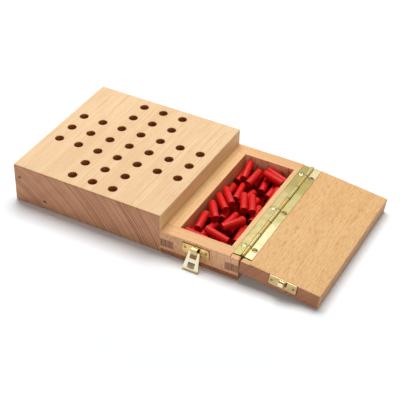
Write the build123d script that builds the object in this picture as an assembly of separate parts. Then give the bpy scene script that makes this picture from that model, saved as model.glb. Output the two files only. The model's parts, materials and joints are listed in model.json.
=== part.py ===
"""Peg solitaire board: a drilled block, a peg tray beside it, and a tray lid on a strip hinge.

The origin is on the underside of the playing block, straight below its centre hole.
+X runs from the block over the tray to the opened lid, +Y to the back, +Z up.
Every length is in millimetres and every angle in degrees.
"""

from build123d import *
import math
import os

import numpy as np

# Playing block
block_length = 131.0
block_depth = 130.0
block_height = 34.0
block_round = 0.9
holes_in_each_row = (3, 3, 7, 7, 7, 3, 3)
hole_pitch = 18.0
hole_play = 1.2
hole_depth = 12.0
hole_mouth_chamfer = 0.3

# Tray for the pegs
tray_length = 65.0
rim_height = 19.8
wall_thickness = 11.0
floor_thickness = 4.0
finger_bottom = 6.5
finger_height = 6.8
rim_round = 0.5

# Lid
lid_thickness = 12.4
lid_gap = 0.3
lid_to_block_gap = 1.3
lid_round = 0.8

# Strip hinge
hinge_side_gap = 0.8
hinge_front_inset = 4.8
hinge_back_inset = 1.8
leaf_reach = 7.6
leaf_thickness = 0.8
knuckle_radius = 1.6
knuckle_pitch = 16.6
first_knuckle = 10.8
knuckle_end_gap = 0.15
leaf_to_knuckle_gap = 0.2
pin_radius = 0.8
pin_clearance = 0.05
rebate_clearance = 0.15
knuckle_clearance = 0.3

# Countersunk screws of the hinge
screw_head_radius = 2.1
screw_head_height = 1.1
screw_shank_radius = 1.0
screw_length = 9.0
screw_tip = 2.0
screw_tip_radius = 0.1
screw_slot_width = 0.6
screw_slot_depth = 0.5
screw_end_inset = 11.7
screw_count = 3
lid_screw_shift = -1.2
screw_clearance = 0.05

# Latch plate on the tray
latch_to_pin = 35.6
latch_plate_width = 22.0
latch_plate_height = 7.9
latch_plate_drop = 2.4
plate_thickness = 0.7
plate_corner = 0.9
notch_half_width = 6.0
notch_height = 3.8
tab_side_gap = 0.35
tab_notch_gap = 0.4
tab_bend_radius = 1.2
tab_drop = 0.3
tab_end_rise = 0.3

# Latch lever, which hangs on its crossbar in the curl of the tab
lever_thickness = 0.8
lever_straight = 12.9
lever_roll_radius = 0.8
lever_roll_turn = 150.0
lever_top_half_width = 4.3
lever_bottom_half_width = 6.8
lever_corner = 0.6
crossbar_half_height = 0.7
window_half_width = 2.85
upper_window_end = 4.6
lower_window_start = 7.5
lip_width = 1.0
pivot_out = 2.45
pivot_drop = 6.9
curl_clearance = 0.14

# Strike plate and hook on the lid
strike_plate_width = 22.0
strike_plate_height = 8.2
hook_side_gap = 0.35
hook_window_gap = 0.25
hook_bend_radius = 0.9

# Nails of the two plates
nail_radius = 0.5
nail_head_radius = 1.0
nail_head_height = 0.35
nail_length = 6.0
nail_inset = 2.3
nail_clearance = 0.03
latch_nail_rise = 0.5

# Pegs
peg_diameter = 6.0
peg_length = 20.0
peg_end_round = 0.25
peg_gap = 0.3

# How the pegs are dropped into the tray
peg_tilts = range(-24, 25, 2)
peg_nudge = 1.5
nudge_cost = 0.15
drop_height = 0.1
end_set_back = 0.15

# How far a cutting shape runs past the wood
cut_past = 1.0

# Sizes that follow from those above
hole_diameter = peg_diameter + hole_play
screw_to_pin = (knuckle_radius + leaf_to_knuckle_gap + leaf_reach) / 2
lower_window_end = lever_straight - lip_width
tab_width = 2 * (window_half_width - tab_side_gap)
hook_width = 2 * (window_half_width - hook_side_gap)
hook_out = pivot_out + (lever_thickness + plate_thickness) / 2

# Places that follow from the sizes above
tray_left = block_length / 2
tray_right = tray_left + tray_length
front = -block_depth / 2
back = block_depth / 2
pin_x = tray_right + hinge_side_gap
pin_z = rim_height + lid_gap / 2
lid_left = tray_left + lid_to_block_gap
lid_bottom = rim_height + lid_gap
lid_top = lid_bottom + lid_thickness
latch_x = pin_x - latch_to_pin
pivot_y = front - pivot_out
pivot_z = rim_height - pivot_drop
hinge_front = front + hinge_front_inset
hinge_back = back - hinge_back_inset


def box_between(x, y, z):
    """A box from the low and high value of each axis."""
    size = [high - low for low, high in (x, y, z)]
    centre = [(high + low) / 2 for low, high in (x, y, z)]
    return Pos(*centre) * Box(*size)


def rod_along_y(x, z, radius, y):
    """A cylinder along Y between two values of y."""
    low, high = y
    return Pos(x, (low + high) / 2, z) * Rot(90, 0, 0) * Cylinder(radius, high - low)


def lid_open_angle():
    """The turn from closed until the lid's outer far edge rests on the table."""
    reach = pin_x - lid_left - lid_round
    depth = lid_top - pin_z - lid_round
    sag = math.asin((pin_z - lid_round) / math.hypot(reach, depth))
    return 180 + math.degrees(sag - math.atan2(depth, reach))


def lever_lean():
    """How far the lever leans out from straight down when its roll rests on the table.

    A lever that doesn't reach the table hangs straight down from its crossbar.
    """
    roll_outside = lever_roll_radius + lever_thickness / 2
    reach = math.hypot(lever_straight, lever_roll_radius)
    swing = math.acos(min(1, (pivot_z - roll_outside) / reach))
    return math.degrees(swing + math.atan2(lever_roll_radius, lever_straight))


def opened(shape):
    """A piece of the closed lid, swung open about the hinge pin."""
    return shape.rotate(Axis((pin_x, 0, pin_z), (0, 1, 0)), lid_open_angle())


def bent_strip(points, radii, thickness, width, x):
    """Sheet metal bent along (out, up) points in front of the box, centred on x."""
    path = FilletPolyline(*[(0, front - out, up) for out, up in points], radius=radii)
    plane = Plane(origin=(0, 0, 0), x_dir=(0, 1, 0), z_dir=(1, 0, 0))
    flat = plane.to_local_coords(path)
    outline = make_face(offset(flat, thickness / 2, side=Side.BOTH))
    return Pos(x, 0, 0) * extrude(plane * outline, width / 2, both=True)


def hole_places():
    """The centres of the peg holes, row by row from the front."""
    rows = len(holes_in_each_row)
    for row, count in enumerate(holes_in_each_row):
        y = (row - (rows - 1) / 2) * hole_pitch
        for column in range(count):
            yield (column - (count - 1) / 2) * hole_pitch, y


def playing_block():
    half = block_length / 2
    block = box_between((-half, half), (front, back), (0, block_height))
    block = fillet(block.edges(), block_round)
    radius = hole_diameter / 2
    hole = Pos(0, 0, block_height - hole_depth / 2) * Cylinder(radius, hole_depth)
    mouth_height = hole_mouth_chamfer
    mouth = Cone(radius, radius + mouth_height, mouth_height)
    hole += Pos(0, 0, block_height - mouth_height / 2) * mouth
    return block - [Pos(x, y, 0) * hole for x, y in hole_places()]


def finger(x, y):
    """The end of a side wall that passes through the front or back wall."""
    return box_between(x, y, (finger_bottom, finger_bottom + finger_height))


def side_x():
    """The low and high X of the tray's left wall and of its right wall."""
    left = (tray_left, tray_left + wall_thickness)
    right = (tray_right - wall_thickness, tray_right)
    return left, right


def leaf_rebate(shape):
    """The wood cut back for one hinge leaf and for the knuckles."""
    edge = pin_x - leaf_reach - rebate_clearance
    depth = pin_z - lid_gap / 2 - leaf_thickness
    top = pin_z
    y = (front - cut_past, back + cut_past)
    slot = box_between((edge, tray_right + cut_past), y, (depth, top))
    groove = rod_along_y(pin_x, pin_z, knuckle_radius + knuckle_clearance, y)
    return shape - slot - groove


def end_wall(outer, inner):
    """The front or back wall, notched at both ends for the side walls' fingers."""
    y = (min(outer, inner), max(outer, inner))
    wall = box_between((tray_left, tray_right), y, (floor_thickness, rim_height))
    rim = wall.edges().filter_by(Axis.X).sort_by(Axis.Z)[-2:]
    wall = fillet(rim.sort_by_distance((tray_left, outer, rim_height))[0], rim_round)
    for x in side_x():
        wall -= finger(x, y)
    return wall


def side_wall(x):
    """A side wall between the end walls, with a finger through each of them."""
    y = (front + wall_thickness, back - wall_thickness)
    wall = box_between(x, y, (floor_thickness, rim_height))
    return wall + finger(x, (front, y[0])) + finger(x, (y[1], back))


def tray_floor():
    return box_between((tray_left, tray_right), (front, back), (0, floor_thickness))


def lid_panel():
    panel = box_between((lid_left, tray_right), (front, back), (lid_bottom, lid_top))
    panel = fillet(panel.edges(), lid_round)
    return over_pin(leaf_rebate(over_pin(panel)))


def over_pin(shape):
    """The mirror image above or below the pin, since the two leaves face each other."""
    return shape.mirror(Plane(origin=(0, 0, pin_z), z_dir=(0, 0, 1)))


def knuckles():
    """The low and high Y of each knuckle, from the front."""
    spans = [(hinge_front, hinge_front + first_knuckle)]
    while spans[-1][1] < hinge_back - knuckle_pitch / 4:
        start = spans[-1][1]
        spans.append((start, min(start + knuckle_pitch, hinge_back)))
    return spans


def hinge_leaf(own_first, screw_shift):
    """A leaf lying in the tray's rim, with every second knuckle rolled round the pin."""
    top = pin_z - lid_gap / 2
    sheet = (top - leaf_thickness, top)
    leaf = box_between((pin_x - leaf_reach, pin_x), (hinge_front, hinge_back), sheet)
    own = knuckles()[own_first::2]
    others = knuckles()[1 - own_first::2]
    clearance = knuckle_radius + leaf_to_knuckle_gap
    leaf -= [rod_along_y(pin_x, pin_z, clearance, span) for span in others]
    for low, high in own:
        span = (low + knuckle_end_gap / 2, high - knuckle_end_gap / 2)
        leaf += rod_along_y(pin_x, pin_z, knuckle_radius, span)
    gaps = [high for low, high in knuckles()[:-1]]
    leaf -= [end_gap_space(y) for y in gaps]
    bore = rod_along_y(pin_x, pin_z, pin_radius + pin_clearance, (front, back))
    leaf -= bore
    return leaf - screw_spaces(screw_shift)


def end_gap_space(y):
    """The sliver of leaf removed between two knuckles, so that they turn freely."""
    edge = pin_x - knuckle_radius - leaf_to_knuckle_gap
    half = knuckle_end_gap / 2
    reach = knuckle_radius + cut_past
    return box_between((edge, pin_x + reach), (y - half, y + half), (pin_z - reach, pin_z + reach))


def hinge_pin():
    end = pin_radius / 3
    pin = rod_along_y(pin_x, pin_z, pin_radius, (hinge_front, hinge_back))
    return chamfer(pin.edges().filter_by(GeomType.CIRCLE), end)


def screw_places(shift):
    """Where the screws of a leaf stand, with their heads flush with the leaf."""
    first = hinge_front + screw_end_inset + shift
    spacing = (hinge_back - hinge_front - 2 * screw_end_inset) / (screw_count - 1)
    for number in range(screw_count):
        yield pin_x - screw_to_pin, first + number * spacing, pin_z - lid_gap / 2


def screw_body(extra):
    """A countersunk screw along Z with its head's top at the origin."""
    head = screw_head_radius + extra
    shank = screw_shank_radius + extra
    straight = screw_length - screw_tip - screw_head_height
    body = Pos(0, 0, -screw_head_height / 2) * Cone(shank, head, screw_head_height)
    body += Pos(0, 0, -screw_head_height - straight / 2) * Cylinder(shank, straight)
    tip_middle = -screw_length + screw_tip / 2
    return body + Pos(0, 0, tip_middle) * Cone(extra + screw_tip_radius, shank, screw_tip)


def screws(shift):
    screw = screw_body(0)
    slot_length = 2 * (screw_head_radius + cut_past)
    slot = Box(slot_length, screw_slot_width, 2 * screw_slot_depth)
    screw -= slot
    return [Pos(*place) * screw for place in screw_places(shift)]


def screw_spaces(shift):
    space = screw_body(screw_clearance)
    return [Pos(*place) * space for place in screw_places(shift)]


def latch_plate():
    """The plate nailed to the tray, with the tab that curls round the lever's crossbar."""
    top = rim_height - latch_plate_drop
    bottom = top - latch_plate_height
    half = latch_plate_width / 2
    inner = tab_width / 2 + tab_notch_gap
    outline = Polyline(
        (-half, bottom),
        (-notch_half_width, bottom),
        (-inner, bottom + notch_height),
        (inner, bottom + notch_height),
        (notch_half_width, bottom),
        (half, bottom),
        (half, top),
        (-half, top),
        close=True,
    )
    face = make_face(outline)
    corners = [v for v in face.vertices() if abs(abs(v.X) - half) < 0.01]
    face = fillet(corners, plate_corner)
    plane = Plane(origin=(latch_x, front, 0), x_dir=(1, 0, 0), z_dir=(0, -1, 0))
    plate = extrude(plane * face, plate_thickness)
    return plate + latch_tab(top) - nail_spaces(latch_nail_places())


def latch_tab(top):
    """The tab: out of the plate, down in front, and round the crossbar."""
    curl = curl_radius()
    peak = top - tab_drop - plate_thickness / 2
    outer = pivot_out + curl
    points = [
        (plate_thickness / 2, peak),
        (outer, peak),
        (outer, pivot_z - curl),
        (pivot_out - curl, pivot_z - curl),
        (pivot_out - curl, pivot_z + tab_end_rise),
    ]
    round_bar = curl * 0.98
    radii = [tab_bend_radius, round_bar, round_bar]
    return bent_strip(points, radii, plate_thickness, tab_width, latch_x)


def curl_radius():
    """The middle radius of the tab's curl, clear of the crossbar's corners."""
    corner = math.hypot(crossbar_half_height, lever_thickness / 2)
    return corner + curl_clearance + plate_thickness / 2


def latch_nail_places():
    out = latch_plate_width / 2 - nail_inset
    z = rim_height - latch_plate_drop - latch_plate_height / 2 + latch_nail_rise
    return [(latch_x - out, z), (latch_x + out, z)]


def strike_nail_places():
    out = strike_plate_width / 2 - nail_inset
    z = lid_bottom + strike_plate_height / 2
    return [(latch_x - out, z), (latch_x + out, z)]


def nail_body(extra):
    """A nail along -Y, with the underside of its head on the plate."""
    shank = Pos(0, 0, -nail_length / 2) * Cylinder(nail_radius + extra, nail_length)
    head = Pos(0, 0, nail_head_height / 2) * Cylinder(nail_head_radius, nail_head_height)
    return shank, head


def nails(places):
    shank, head = nail_body(0)
    head = fillet(head.edges().sort_by(Axis.Z)[-1], nail_head_height * 0.8)
    nail = shank + head
    y = front - plate_thickness
    return [Pos(x, y, z) * Rot(90, 0, 0) * nail for x, z in places]


def nail_spaces(places):
    shank, head = nail_body(nail_clearance)
    y = front - plate_thickness
    return [Pos(x, y, z) * Rot(90, 0, 0) * shank for x, z in places]


def latch_lever():
    """The lever as it stands when closed, straight up from its crossbar."""
    roll = lever_roll_radius
    start = pivot_z - crossbar_half_height
    end = pivot_z + lever_straight
    turn = math.radians(lever_roll_turn)
    middle = (pivot_out + roll, end)
    tip = (middle[0] - roll * math.cos(turn), end + roll * math.sin(turn))
    top = (middle[0], end + roll)
    to_yz = lambda point: (0, front - point[0], point[1])
    stem = Line(to_yz((pivot_out, start)), to_yz((pivot_out, end)))
    arc = ThreePointArc(to_yz((pivot_out, end)), to_yz(top), to_yz(tip))
    plane = Plane(origin=(0, 0, 0), x_dir=(0, 1, 0), z_dir=(1, 0, 0))
    flat = plane.to_local_coords(Wire([*stem.edges(), *arc.edges()]))
    outline = make_face(offset(flat, lever_thickness / 2, side=Side.BOTH))
    sheet = extrude(plane * outline, lever_bottom_half_width + 1, both=True)
    return Pos(latch_x, 0, 0) * (sheet & lever_outline())


def lever_outline():
    """The lever's tapered front view with its two windows, as a thick block."""
    low = pivot_z - crossbar_half_height
    high = pivot_z + lever_straight + lever_roll_radius + lever_thickness
    foot = Polyline(
        (-lever_top_half_width, low),
        (lever_top_half_width, low),
        (lever_bottom_half_width, high),
        (-lever_bottom_half_width, high),
        close=True,
    )
    face = fillet(make_face(foot).vertices(), lever_corner)
    windows = (
        (crossbar_half_height, upper_window_end),
        (lower_window_start, lower_window_end),
    )
    plane = Plane(origin=(0, front - pivot_out, 0), x_dir=(1, 0, 0), z_dir=(0, -1, 0))
    block = extrude(plane * face, 5 * lever_roll_radius, both=True)
    across = (-window_half_width, window_half_width)
    through = (front - pivot_out - lever_thickness, front - pivot_out + lever_thickness)
    for low_end, high_end in windows:
        block -= box_between(across, through, (pivot_z + low_end, pivot_z + high_end))
    return block


def lever_at_rest():
    """The lever hanging open with its roll on the table."""
    axis = Axis((0, pivot_y, pivot_z), (1, 0, 0))
    return latch_lever().rotate(axis, 180 - lever_lean())


def strike_plate():
    """The plate nailed to the lid's front edge, with the hook for the lever's window."""
    plate = box_between(
        (latch_x - strike_plate_width / 2, latch_x + strike_plate_width / 2),
        (front - plate_thickness, front),
        (lid_bottom, lid_bottom + strike_plate_height),
    )
    plate = fillet(plate.edges().filter_by(Axis.Y), plate_corner)
    half = plate_thickness / 2
    low = pivot_z + lower_window_start + hook_window_gap + half
    high = pivot_z + lower_window_end - hook_window_gap
    points = [(half, low), (hook_out, low), (hook_out, high - half)]
    hook = bent_strip(points, hook_bend_radius, plate_thickness, hook_width, latch_x)
    return plate + hook - nail_spaces(strike_nail_places())


# Each peg: its place across and along the free floor, from 0 to 1, and its heading in
# degrees from +X. They are dropped in this order, each onto those before it.
peg_places = (
    (0.00, 0.99, 88),
    (0.21, 0.74, 97),
    (0.43, 0.69, 84),
    (0.34, 1.00, 95),
    (0.60, 0.94, 98),
    (0.80, 0.90, 90),
    (1.00, 0.79, 91),
    (0.63, 0.60, 82),
    (0.87, 0.51, 98),
    (0.01, 0.69, 93),
    (0.26, 0.43, 100),
    (0.50, 0.32, 83),
    (0.03, 0.37, 97),
    (0.69, 0.30, 85),
    (0.93, 0.20, 97),
    (0.22, 0.12, 80),
    (0.01, 0.04, 92),
    (0.43, 0.01, 60),
    (0.96, 0.00, 20),
    (0.36, 0.91, 88),
    (0.98, 1.00, 160),
    (0.99, 0.93, 160),
    (0.11, 1.00, 100),
    (0.83, 0.55, 116),
    (0.59, 0.54, 116),
    (0.05, 0.55, 132),
    (0.00, 0.45, 133),
    (0.00, 0.31, 126),
    (0.00, 0.15, 99),
    (0.76, 0.23, 59),
    (0.55, 0.09, 176),
    (0.02, 0.00, 172),
)


def peg_reach(heading):
    """Half of the floor that a flat peg takes up along X and along Y."""
    turn = math.radians(heading)
    half = peg_length / 2
    radius = peg_diameter / 2
    along_x = half * abs(math.cos(turn)) + radius * abs(math.sin(turn))
    along_y = half * abs(math.sin(turn)) + radius * abs(math.cos(turn))
    return along_x + peg_gap, along_y + peg_gap


def peg_room(heading):
    """The low and high X, and the low and high Y, that a peg's middle can have."""
    reach_x, reach_y = peg_reach(heading)
    room_x = (tray_left + wall_thickness + reach_x, tray_right - wall_thickness - reach_x)
    room_y = (front + wall_thickness + reach_y, back - wall_thickness - reach_y)
    return room_x, room_y


def within(value, limits):
    low, high = limits
    return min(max(value, low), high)


def peg_direction(heading, tilt):
    """The way a peg points, for its heading and for one tilt or several."""
    turn, rise = np.radians(heading), np.radians(tilt)
    flat = np.cos(rise)
    return np.stack([np.cos(turn) * flat, np.sin(turn) * flat, np.sin(rise)], axis=-1)


def peg_distance(middle, way, other_middle, other_way):
    """The least distance between the middle lines of two pegs."""
    half = peg_length / 2 - end_set_back * peg_diameter
    between = middle - other_middle
    turn = (way * other_way).sum(-1)
    along = (way * between).sum(-1)
    other_along = (other_way * between).sum(-1)
    spread = np.maximum(1 - turn**2, 1e-9)
    here = np.clip((turn * other_along - along) / spread, -half, half)
    there = np.clip(turn * here + other_along, -half, half)
    here = np.clip(turn * there - along, -half, half)
    gap = between + here[..., None] * way - there[..., None] * other_way
    return np.sqrt((gap**2).sum(-1))


def settled(x, y, heading, laid):
    """The lowest height, over all tilts, at which a peg comes to lie on those below it."""
    tilts = np.array(peg_tilts, float)
    slopes = np.radians(tilts)
    ways = peg_direction(heading, tilts)
    half_height = np.abs(np.sin(slopes)) * peg_length / 2 + np.cos(slopes) * peg_diameter / 2
    lowest = floor_thickness + peg_gap + half_height
    heights = lowest[:, None] + np.arange(0, 2 * rim_height, drop_height)
    middles = np.stack([np.full_like(heights, x), np.full_like(heights, y), heights], axis=-1)
    steps = np.zeros(len(tilts), int)
    for other_middle, other_way in laid:
        apart = peg_distance(middles, ways[:, None, :], other_middle, other_way)
        blocked = apart < peg_diameter + peg_gap
        from_above = np.argmax(blocked[:, ::-1], axis=1)
        last = np.where(blocked.any(axis=1), blocked.shape[1] - from_above, 0)
        steps = np.maximum(steps, last)
    reached = lowest + steps * drop_height
    best = int(np.argmin(reached + 1e-3 * np.abs(tilts)))
    return float(reached[best]), float(tilts[best])


def peg_pile():
    """The middle, heading and tilt of each peg, after it rolls to the lowest spot nearby."""
    laid = []
    for across, along, heading in peg_places:
        room_x, room_y = peg_room(heading)
        x = room_x[0] + across * (room_x[1] - room_x[0])
        y = room_y[0] + along * (room_y[1] - room_y[0])
        choices = []
        nudges = (0, -peg_nudge, peg_nudge)
        for nudge_x in nudges:
            for nudge_y in nudges:
                spot = within(x + nudge_x, room_x), within(y + nudge_y, room_y)
                height, tilt = settled(*spot, heading, laid)
                cost = height + nudge_cost * math.hypot(nudge_x, nudge_y)
                choices.append((round(cost, 6), len(choices), (*spot, height), tilt))
        cost, number, middle, tilt = min(choices)
        laid.append((np.array(middle), peg_direction(heading, tilt)))
        yield middle, heading, tilt


def peg():
    rod = Cylinder(peg_diameter / 2, peg_length)
    return fillet(rod.edges().filter_by(GeomType.CIRCLE), peg_end_round)


def pegs():
    """All the pegs, each where it lies in the tray."""
    upright = peg()
    for middle, heading, tilt in peg_pile():
        yield Pos(*middle) * Rot(0, 0, heading) * Rot(0, 90 - tilt, 0) * upright


def group(solids):
    """Separate solids of one kind, kept as one piece."""
    return Compound(children=list(solids))


def main():
    os.makedirs("parts", exist_ok=True)
    left_x, right_x = side_x()
    inner = wall_thickness
    pieces = {
        "playing_block": playing_block(),
        "tray_floor": tray_floor(),
        "tray_left_wall": side_wall(left_x),
        "tray_right_wall": leaf_rebate(side_wall(right_x)),
        "tray_front_wall": leaf_rebate(end_wall(front, front + inner)),
        "tray_back_wall": leaf_rebate(end_wall(back, back - inner)),
    }
    for name in ("tray_right_wall", "tray_front_wall", "tray_back_wall"):
        pieces[name] -= screw_spaces(0)
    pieces["tray_front_wall"] -= nail_spaces(latch_nail_places())
    lid = lid_panel() - [over_pin(space) for space in screw_spaces(lid_screw_shift)]
    pieces["lid_panel"] = opened(lid - nail_spaces(strike_nail_places()))
    pieces["hinge_leaf_tray"] = hinge_leaf(1, 0)
    pieces["hinge_leaf_lid"] = opened(over_pin(hinge_leaf(0, lid_screw_shift)))
    pieces["hinge_pin"] = hinge_pin()
    pieces["hinge_screws_tray"] = group(screws(0))
    lid_screws = [opened(over_pin(screw)) for screw in screws(lid_screw_shift)]
    pieces["hinge_screws_lid"] = group(lid_screws)
    pieces["latch_plate"] = latch_plate()
    pieces["latch_plate_nails"] = group(nails(latch_nail_places()))
    pieces["latch_lever"] = lever_at_rest()
    pieces["strike_plate"] = opened(strike_plate())
    strike_nails = [opened(nail) for nail in nails(strike_nail_places())]
    pieces["strike_plate_nails"] = group(strike_nails)
    for number, shape in enumerate(pegs(), start=1):
        pieces[f"peg_{number:02d}"] = shape
    for name, shape in pieces.items():
        export_step(shape, f"parts/{name}.step")
    print("lid opens", round(lid_open_angle(), 3), "lever leans", round(lever_lean(), 3))
    print("pin", round(pin_x, 3), round(pin_z, 3), "pivot", round(pivot_y, 3), round(pivot_z, 3))


main()
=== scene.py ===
"""Looks of the peg solitaire board: beech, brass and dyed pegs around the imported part.

Blender's own lengths are metres, in the frame of the solids: +X runs from the block over the
tray to the opened lid, +Y to the back and +Z up. Places on the part and the patterns of the
materials are in millimetres, in that same frame.
"""

import json
import math

import bpy
import numpy as np
from mathutils import Matrix, Vector

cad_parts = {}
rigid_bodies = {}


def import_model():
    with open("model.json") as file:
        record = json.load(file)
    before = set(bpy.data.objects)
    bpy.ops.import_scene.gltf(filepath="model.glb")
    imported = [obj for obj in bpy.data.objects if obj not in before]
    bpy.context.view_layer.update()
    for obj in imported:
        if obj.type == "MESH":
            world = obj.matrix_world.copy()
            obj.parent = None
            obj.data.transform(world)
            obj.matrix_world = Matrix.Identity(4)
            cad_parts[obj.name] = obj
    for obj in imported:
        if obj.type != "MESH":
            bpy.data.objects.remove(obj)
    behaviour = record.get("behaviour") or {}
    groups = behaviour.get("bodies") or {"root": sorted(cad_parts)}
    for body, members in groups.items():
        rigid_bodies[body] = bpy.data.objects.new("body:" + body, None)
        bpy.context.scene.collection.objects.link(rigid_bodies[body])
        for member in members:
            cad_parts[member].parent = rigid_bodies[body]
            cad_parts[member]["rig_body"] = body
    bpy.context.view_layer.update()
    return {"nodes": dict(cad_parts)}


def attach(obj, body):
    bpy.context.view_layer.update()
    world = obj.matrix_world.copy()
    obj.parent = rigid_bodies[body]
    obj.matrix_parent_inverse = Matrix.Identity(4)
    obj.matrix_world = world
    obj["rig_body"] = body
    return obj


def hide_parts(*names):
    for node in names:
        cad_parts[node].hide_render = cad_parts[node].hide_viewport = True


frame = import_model()
solids = frame["nodes"]
bpy.context.scene.view_settings.view_transform = "Standard"

mm = 0.001

# The camera, where the photograph was taken from
camera_place = (0.4036, -0.6472, 0.5695)
camera_azimuth = 27.68
camera_elevation = 37.70
camera_roll = 1.22
focal_length_px = 1175
photo_width_px = 400
film_width = 36
view_depth = (0.01, 50)

# Light of the studio
white = (1, 1, 1, 1)
room_colour = (0.90, 0.96, 1.0, 1)
room_strength = 0.13
softbox_place = (-0.42, 0.92, 2.40)
softbox_size = (2.0, 1.5)
softbox_power = 82.5
fill_place = (0.45, -1.15, 0.32)
fill_size = 0.80
fill_power = 2.4

# The floor, which glows white to the camera beyond the object's shadow
floor_place = (0.06, 0, -0.0001)
floor_size = 6.0
floor_colour = (0.925, 0.94, 0.95, 1)
floor_roughness = 0.9
floor_glow = 0.04
glow_reach = (0.17, 0.42)

# Places on the wood; the peg holes lie inside holes_half_x and holes_half_y, above holes_low_z
block_half_x = 65.5
block_half_y = 65.0
block_top = 34.0
holes_half_x = 62.5
holes_half_y = 62.0
holes_low_z = 21.0
well_x = (76.5, 119.5)
well_half_y = 54.0
knots = ((-60.5, -65.0, 23.0), (-38.0, -65.0, 7.5))
knot_stretch = (0.7, 0.3, 1)

# The hinge, with the opened lid's tilt past flat in degrees, and its screws
pin_x = 131.3
pin_z = 19.95
pin_to_leaf = 0.15
lid_tilt = 6.745
leaf_reach = 7.75
leaf_front_y = -60.2
knuckle_end_y = -49.4
knuckle_pitch = 16.6
screw_x = 126.6
screw_to_pin = pin_x - screw_x
tray_screw_y = 1.5
lid_screw_y = 0.3
screw_spacing = 50.0
screw_head = 2.05
head_height = 1.1
shank_share = 0.49
shank_length = 5.9
point_share = 0.10
point_length = 2.0
dome_steps = ((0.25, 0.05), (0.55, 0.04), (0.60, 0.02))
slot_size = (6.0, 0.62, 1.0)
tray_slot_turns = (62, 15, 100)
lid_slot_turns = (40, 155, 70)
screw_ease = 0.05
screw_ease_steps = 2

# The latch; the strike plate's and its hook's places are those with the lid shut
latch_x = 95.7
plate_face_y = -65.7
plate_half_width = 11.0
latch_plate_z = (9.5, 17.4)
strike_plate_z = (20.1, 28.3)
hook_z = (20.6, 24.6)
hook_half_width = 2.5
hook_bend_y = plate_face_y - 1.95
# The painted shadow beside the hook is centred this far to one side of the hook's middle
hook_shadow_x = 0.10

# The pegs
peg_radius = 3.0
peg_length = 20.0
peg_ease = 0.32
peg_ease_steps = 3
end_ring_count = 2
end_ring_width = 1.0
grain_step = (11.0, 7.0, 0.0)

# How the meshes are rounded, with angles in degrees
turned_sides = 48
weld_distance = 1e-6
flat_angle = 0.5
soft_steps = 2
soft_angle = 35
soft_shading_angle = 40
turned_shading_angle = 30
end_facing = 0.99


def paint(red, green, blue):
    """A colour given as it looks on screen, 0 to 255, in the renderer's own units."""
    return (*[channel_light(value / 255) for value in (red, green, blue)], 1)


def channel_light(value):
    return value / 12.92 if value <= 0.04045 else ((value + 0.055) / 1.055) ** 2.4


# Node helpers: unless they say otherwise, they give back the output socket of what they add

def feed(socket, value):
    """Sets a socket, or links it when the value is another node's output."""
    if isinstance(value, bpy.types.NodeSocket):
        socket.id_data.links.new(value, socket)
    else:
        socket.default_value = value


def add_node(tree, kind, inputs, **settings):
    """The new node itself, with its settings and its inputs given."""
    made = tree.nodes.new("ShaderNode" + kind)
    for name, value in settings.items():
        setattr(made, name, value)
    for name, value in inputs.items():
        feed(made.inputs[name], value)
    return made


def maths(tree, operation, *values):
    """A Math node of any kind, over one to three values."""
    return add_node(tree, "Math", dict(enumerate(values)), operation=operation).outputs[0]


def chained(tree, operation, first, others):
    for other in others:
        first = maths(tree, operation, first, other)
    return first


def product(tree, first, *others):
    return chained(tree, "MULTIPLY", first, others)


def total(tree, first, *others):
    return chained(tree, "ADD", first, others)


def greatest(tree, first, *others):
    return chained(tree, "MAXIMUM", first, others)


def less(tree, value, taken):
    return maths(tree, "SUBTRACT", value, taken)


def size_of(tree, value):
    return maths(tree, "ABSOLUTE", value)


def far_from(tree, value, middle):
    """How far a value lies from a middle one, to either side."""
    return size_of(tree, less(tree, value, middle))


def from_repeat(tree, value, first, pitch):
    """How far a value lies from the nearest of the places first + n * pitch."""
    moved = less(tree, value, first - pitch / 2)
    return far_from(tree, maths(tree, "WRAP", moved, pitch, 0.0), pitch / 2)


def vector_maths(tree, operation, *values, output=0):
    made = add_node(tree, "VectorMath", dict(enumerate(values)), operation=operation)
    return made.outputs[output]


def length_of(tree, vector):
    return vector_maths(tree, "LENGTH", vector, output=1)


def joined(tree, x, y, z=0):
    return add_node(tree, "CombineXYZ", {0: x, 1: y, 2: z}).outputs[0]


def split(tree, vector):
    """The three sockets X, Y and Z of a vector."""
    return add_node(tree, "SeparateXYZ", {0: vector}).outputs


def between(tree, value, low, high, to_low=0.0, to_high=1.0):
    """A smooth step from one level to another as a value goes from low to high."""
    inputs = {0: value, 1: low, 2: high, 3: to_low, 4: to_high}
    made = add_node(tree, "MapRange", inputs, interpolation_type="SMOOTHSTEP")
    return made.outputs[0]


def fading(tree, value, place, start, full, strength=1.0):
    """A mark's strength, which grows from 0 at place + start to the whole at place + full."""
    return between(tree, value, place + start, place + full, 0.0, strength)


def mixed(tree, share, first, second, blend="MIX"):
    """Two colours mixed by a share from 0 to 1."""
    made = tree.nodes.new("ShaderNodeMix")
    made.data_type = "RGBA"
    made.blend_type = blend
    feed(made.inputs[0], share)
    feed(made.inputs[6], first)
    feed(made.inputs[7], second)
    return made.outputs[2]


def tinted(tree, share, colour, tint):
    """A colour multiplied by a tint, as far as the share says."""
    return mixed(tree, share, colour, tint, "MULTIPLY")


# Kinds of noise, as detail and roughness
plain_noise = (1.0, 0.5)
even_noise = (2.0, 0.5)
cloudy_noise = (3.0, 0.5)
fine_noise = (3.0, 0.6)
brushed_noise = (4.0, 0.7)


def noise(tree, place, rate, kind=even_noise):
    detail, roughness = kind
    inputs = {"Vector": place, "Scale": rate, "Detail": detail, "Roughness": roughness}
    return add_node(tree, "TexNoise", inputs).outputs[0]


def stretched_noise(tree, place, rates, kind=even_noise):
    """Noise with its own rate of change along X, Y and Z."""
    return noise(tree, vector_maths(tree, "MULTIPLY", place, rates), 1.0, kind)


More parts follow.
